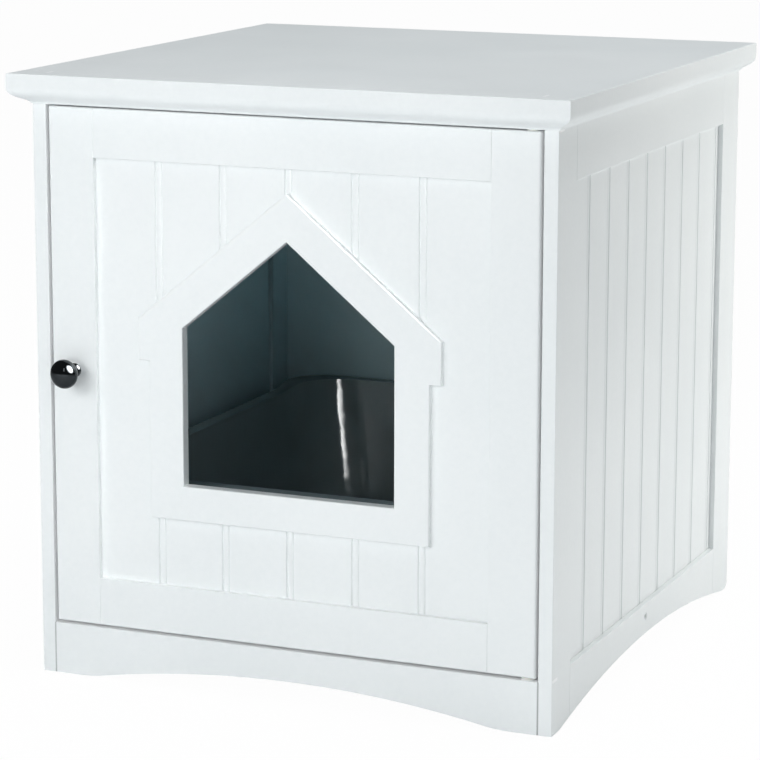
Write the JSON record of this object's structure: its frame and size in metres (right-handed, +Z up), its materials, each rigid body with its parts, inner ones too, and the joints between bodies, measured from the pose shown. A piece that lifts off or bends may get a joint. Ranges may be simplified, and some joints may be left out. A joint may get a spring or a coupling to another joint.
{
  "type": "cat litter box cabinet",
  "caption": "White framed cabinet on arched feet with a moulded top, a hinged front door with a house-shaped doorway and a round knob, and a dark litter pan inside.",
  "frame": {"origin": "on the floor, under the middle of the whole object's box (the box includes the knob)", "axes": "+Z up; the door and its knob face -Y; +X to the right as seen from the front"},
  "size_m": [0.49, 0.5142, 0.5115],
  "materials": {
    "white_lacquer": "satin white lacquer on fibreboard",
    "beech": "plain fluted beech dowel",
    "zinc_plated_steel": "bright zinc plating",
    "chrome": "polished chrome plating",
    "white_nylon": "moulded nylon",
    "ferrite": "sintered ferrite",
    "dark_plastic": "glossy moulded polypropylene"
  },
  "bodies": {
    "cabinet": {"back_panel": "white_lacquer", "cam_bolts": "zinc_plated_steel", "cam_locks": "zinc_plated_steel", "carcass_dowels": "beech", "catch_housing": "white_nylon", "catch_magnet": "ferrite", "catch_screws": "zinc_plated_steel", "door_stop_stretcher": "white_lacquer", "floor_panel": "white_lacquer", "floor_screws": "zinc_plated_steel", "front_apron": "white_lacquer", "left_side_bottom_rail": "white_lacquer", "left_side_front_stile": "white_lacquer", "left_side_panel": "white_lacquer", "left_side_rear_stile": "white_lacquer", "left_side_top_rail": "white_lacquer", "lower_pivot_bush": "white_nylon", "right_side_bottom_rail": "white_lacquer", "right_side_front_stile": "white_lacquer", "right_side_panel": "white_lacquer", "right_side_rear_stile": "white_lacquer", "right_side_top_rail": "white_lacquer", "side_frame_dowels": "beech", "top_board": "white_lacquer", "upper_pivot_bush": "white_nylon"},
    "door": {"door_bottom_rail": "white_lacquer", "door_frame_dowels": "beech", "door_hinge_stile": "white_lacquer", "door_knob": "chrome", "door_latch_stile": "white_lacquer", "door_panel": "white_lacquer", "door_top_rail": "white_lacquer", "house_surround": "white_lacquer", "knob_screw": "zinc_plated_steel", "lower_pivot_pin": "zinc_plated_steel", "pivot_washer": "white_nylon", "strike_plate": "zinc_plated_steel", "strike_screw": "zinc_plated_steel", "upper_pivot_pin": "zinc_plated_steel"},
    "litter_pan": {"litter_pan": "dark_plastic"}
  },
  "joints": [
    {"name": "door_hinge", "type": "hinge", "parent": "cabinet", "child": "door", "pos_m": [0.2076, -0.2251, 0.2653], "axis": [0, 0, 1], "range_deg": [0, 110]},
    {"name": "pan_slide", "type": "slide", "parent": "cabinet", "child": "litter_pan", "axis": [0, -1, 0], "range_m": [-0.003, 0.017]}
  ]
}
